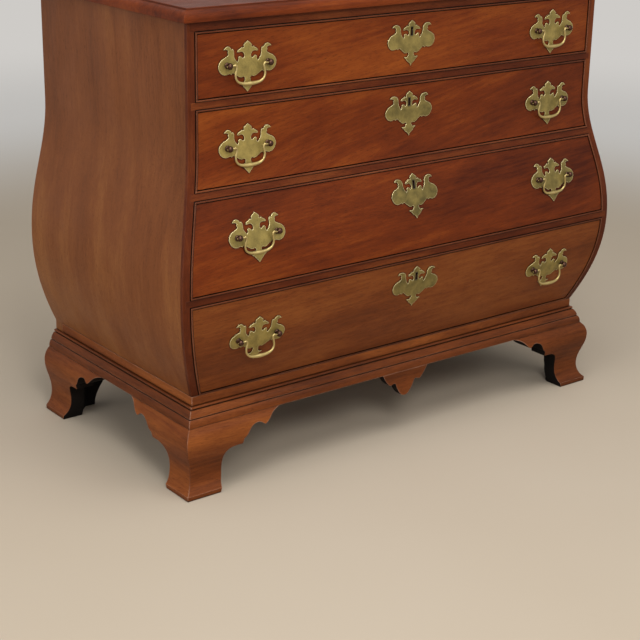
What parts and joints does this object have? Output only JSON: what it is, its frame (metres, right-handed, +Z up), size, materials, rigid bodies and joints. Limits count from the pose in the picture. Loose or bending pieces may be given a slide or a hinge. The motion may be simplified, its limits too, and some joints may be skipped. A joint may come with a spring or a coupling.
{
  "type": "chest of drawers",
  "caption": "Bombe chest with swelled front and sides, drawers with swan-neck pulls, moulded base and ogee bracket feet.",
  "frame": {"origin": "on the floor, under the middle of the whole chest's width and depth, pulls included", "axes": "+Z up, +X to the right seen from the front, -Y out of the front of the drawers"},
  "size_m": [1.04, 0.5435, 0.8583],
  "materials": {
    "mahogany": "french polished, satin",
    "side_mahogany": "worn satin, upright grain",
    "secondary_wood": "bare sawn pine",
    "drawer_lining": "bare planed oak",
    "blackened_wood": "matt black stain",
    "brass": "aged, soft shine on the edges",
    "steel": "dull"
  },
  "bodies": {
    "case": {"top_board": "mahogany", "side_left": "side_mahogany", "side_right": "side_mahogany", "back_boards": "secondary_wood", "bottom_board": "secondary_wood", "front_stiles": "mahogany", "top_rail": "mahogany", "drawer_rails": "mahogany", "cock_beads": "mahogany", "runners_and_kickers": "secondary_wood", "drawer_stops": "secondary_wood", "base_frame": "secondary_wood", "plinth_band": "mahogany", "base_moulding": "mahogany", "foot_front_left": "mahogany", "foot_front_right": "mahogany", "foot_rear_left": "mahogany", "foot_rear_right": "mahogany", "foot_blocks": "blackened_wood", "pendant": "mahogany"},
    "drawer_1": {"drawer_1_front": "mahogany", "drawer_1_sides": "drawer_lining", "drawer_1_back": "drawer_lining", "drawer_1_bottom": "drawer_lining", "drawer_1_plates": "brass", "drawer_1_posts": "brass", "drawer_1_lock": "brass"},
    "drawer_1_bail_left": {"drawer_1_bail_left": "brass"},
    "drawer_1_bail_right": {"drawer_1_bail_right": "brass"},
    "drawer_1_bolt": {"drawer_1_bolt": "steel"},
    "drawer_2": {"drawer_2_front": "mahogany", "drawer_2_sides": "drawer_lining", "drawer_2_back": "drawer_lining", "drawer_2_bottom": "drawer_lining", "drawer_2_plates": "brass", "drawer_2_posts": "brass", "drawer_2_lock": "brass"},
    "drawer_2_bail_left": {"drawer_2_bail_left": "brass"},
    "drawer_2_bail_right": {"drawer_2_bail_right": "brass"},
    "drawer_2_bolt": {"drawer_2_bolt": "steel"},
    "drawer_3": {"drawer_3_front": "mahogany", "drawer_3_sides": "drawer_lining", "drawer_3_back": "drawer_lining", "drawer_3_bottom": "drawer_lining", "drawer_3_plates": "brass", "drawer_3_posts": "brass", "drawer_3_lock": "brass"},
    "drawer_3_bail_left": {"drawer_3_bail_left": "brass"},
    "drawer_3_bail_right": {"drawer_3_bail_right": "brass"},
    "drawer_3_bolt": {"drawer_3_bolt": "steel"},
    "drawer_4": {"drawer_4_front": "mahogany", "drawer_4_sides": "drawer_lining", "drawer_4_back": "drawer_lining", "drawer_4_bottom": "drawer_lining", "drawer_4_plates": "brass", "drawer_4_posts": "brass", "drawer_4_lock": "brass"},
    "drawer_4_bail_left": {"drawer_4_bail_left": "brass"},
    "drawer_4_bail_right": {"drawer_4_bail_right": "brass"},
    "drawer_4_bolt": {"drawer_4_bolt": "steel"}
  },
  "joints": [
    {"name": "drawer_1_slide", "type": "slide", "parent": "case", "child": "drawer_1", "axis": [0, -1, 0], "range_m": [0, 0.33]},
    {"name": "drawer_1_bail_left_swing", "type": "hinge", "parent": "drawer_1", "child": "drawer_1_bail_left", "pos_m": [-0.3605, -0.2345, 0.7593], "axis": [-1, 0, 0], "range_deg": [0, 165]},
    {"name": "drawer_1_bail_right_swing", "type": "hinge", "parent": "drawer_1", "child": "drawer_1_bail_right", "pos_m": [0.3605, -0.2345, 0.7593], "axis": [-1, 0, 0], "range_deg": [0, 165]},
    {"name": "drawer_1_bolt_slide", "type": "slide", "parent": "drawer_1", "child": "drawer_1_bolt", "axis": [0, 0, 1], "range_m": [0, 0.008]},
    {"name": "drawer_2_slide", "type": "slide", "parent": "case", "child": "drawer_2", "axis": [0, -1, 0], "range_m": [0, 0.33]},
    {"name": "drawer_2_bail_left_swing", "type": "hinge", "parent": "drawer_2", "child": "drawer_2_bail_left", "pos_m": [-0.3605, -0.23478, 0.62011], "axis": [-1, 0, 0], "range_deg": [0, 165]},
    {"name": "drawer_2_bail_right_swing", "type": "hinge", "parent": "drawer_2", "child": "drawer_2_bail_right", "pos_m": [0.3605, -0.23478, 0.62011], "axis": [-1, 0, 0], "range_deg": [0, 165]},
    {"name": "drawer_2_bolt_slide", "type": "slide", "parent": "drawer_2", "child": "drawer_2_bolt", "axis": [0, 0, 1], "range_m": [0, 0.008]},
    {"name": "drawer_3_slide", "type": "slide", "parent": "case", "child": "drawer_3", "axis": [0, -1, 0], "range_m": [0, 0.33]},
    {"name": "drawer_3_bail_left_swing", "type": "hinge", "parent": "drawer_3", "child": "drawer_3_bail_left", "pos_m": [-0.3605, -0.26388, 0.47167], "axis": [-1, 0, 0], "range_deg": [0, 165]},
    {"name": "drawer_3_bail_right_swing", "type": "hinge", "parent": "drawer_3", "child": "drawer_3_bail_right", "pos_m": [0.3605, -0.26388, 0.47167], "axis": [-1, 0, 0], "range_deg": [0, 165]},
    {"name": "drawer_3_bolt_slide", "type": "slide", "parent": "drawer_3", "child": "drawer_3_bolt", "axis": [0, 0, 1], "range_m": [0, 0.008]},
    {"name": "drawer_4_slide", "type": "slide", "parent": "case", "child": "drawer_4", "axis": [0, -1, 0], "range_m": [0, 0.33]},
    {"name": "drawer_4_bail_left_swing", "type": "hinge", "parent": "drawer_4", "child": "drawer_4_bail_left", "pos_m": [-0.3605, -0.26589, 0.28315], "axis": [-1, 0, 0], "range_deg": [0, 165]},
    {"name": "drawer_4_bail_right_swing", "type": "hinge", "parent": "drawer_4", "child": "drawer_4_bail_right", "pos_m": [0.3605, -0.26589, 0.28315], "axis": [-1, 0, 0], "range_deg": [0, 165]},
    {"name": "drawer_4_bolt_slide", "type": "slide", "parent": "drawer_4", "child": "drawer_4_bolt", "axis": [0, 0, 1], "range_m": [0, 0.008]}
  ]
}
